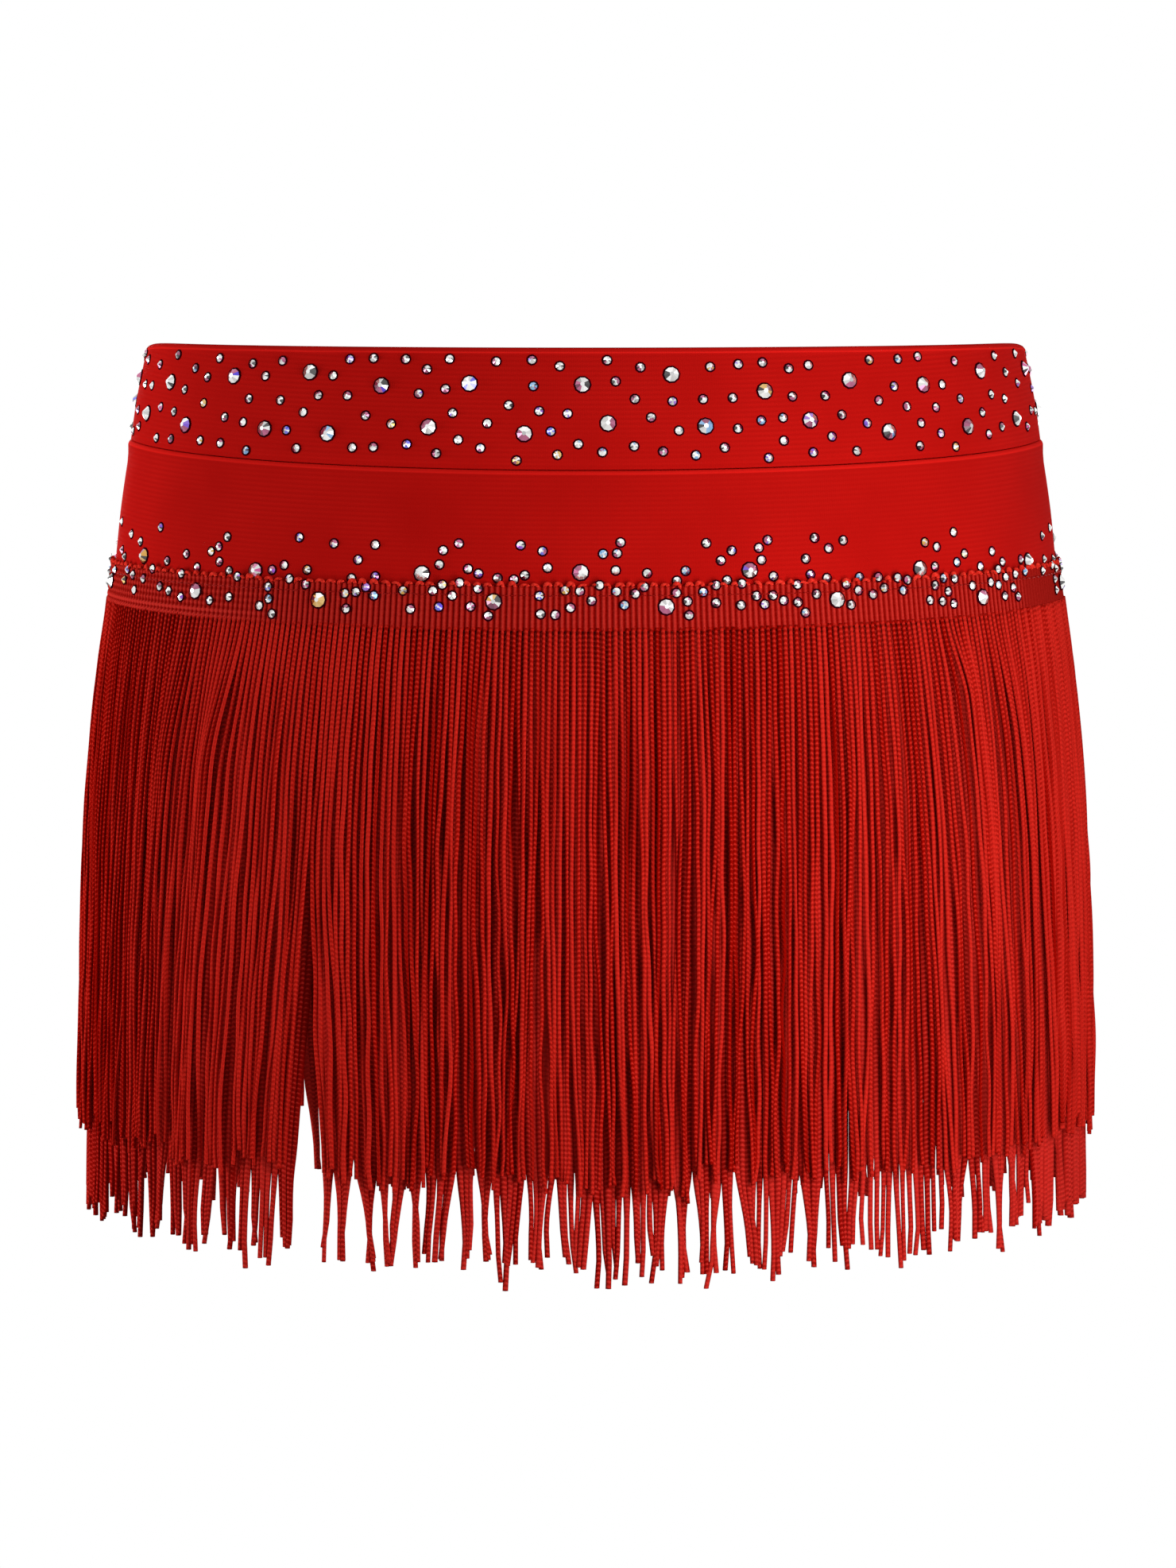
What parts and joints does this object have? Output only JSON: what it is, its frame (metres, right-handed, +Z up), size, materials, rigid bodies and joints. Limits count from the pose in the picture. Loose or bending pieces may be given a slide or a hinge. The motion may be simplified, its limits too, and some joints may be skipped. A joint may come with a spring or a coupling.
{
  "type": "latin dance skirt",
  "caption": "Worn hip-hugger dance mini skirt: a studded stretch waistband and hip yoke with overlaid rings of long chainette fringe, open at waist and hem.",
  "frame": {"origin": "middle of the waist opening, level with the waistband's top edge at the side seams, where the wearer holds the skirt up", "axes": "+Z up, -Y towards the skirt's front, +X towards the wearer's left"},
  "size_m": [0.3566, 0.2494, 0.3163],
  "materials": {
    "band_knit": "matt stretch rib knit, folded over elastic",
    "yoke_knit": "matt stretch rib knit",
    "header_tape": "woven ribbed header tape",
    "outer_fringe": "satin viscose chainette",
    "under_fringe": "satin viscose chainette",
    "sewing_thread": "spun polyester thread",
    "rhinestones": "foil-backed faceted glass with an iridescent coat"
  },
  "bodies": {
    "root": {"waistband_front": "band_knit", "waistband_back": "band_knit", "yoke_front": "yoke_knit", "yoke_back": "yoke_knit", "fringe_outer_front": "outer_fringe", "fringe_outer_back": "outer_fringe", "fringe_under_front": "under_fringe", "fringe_under_back": "under_fringe"}
  },
  "joints": []
}
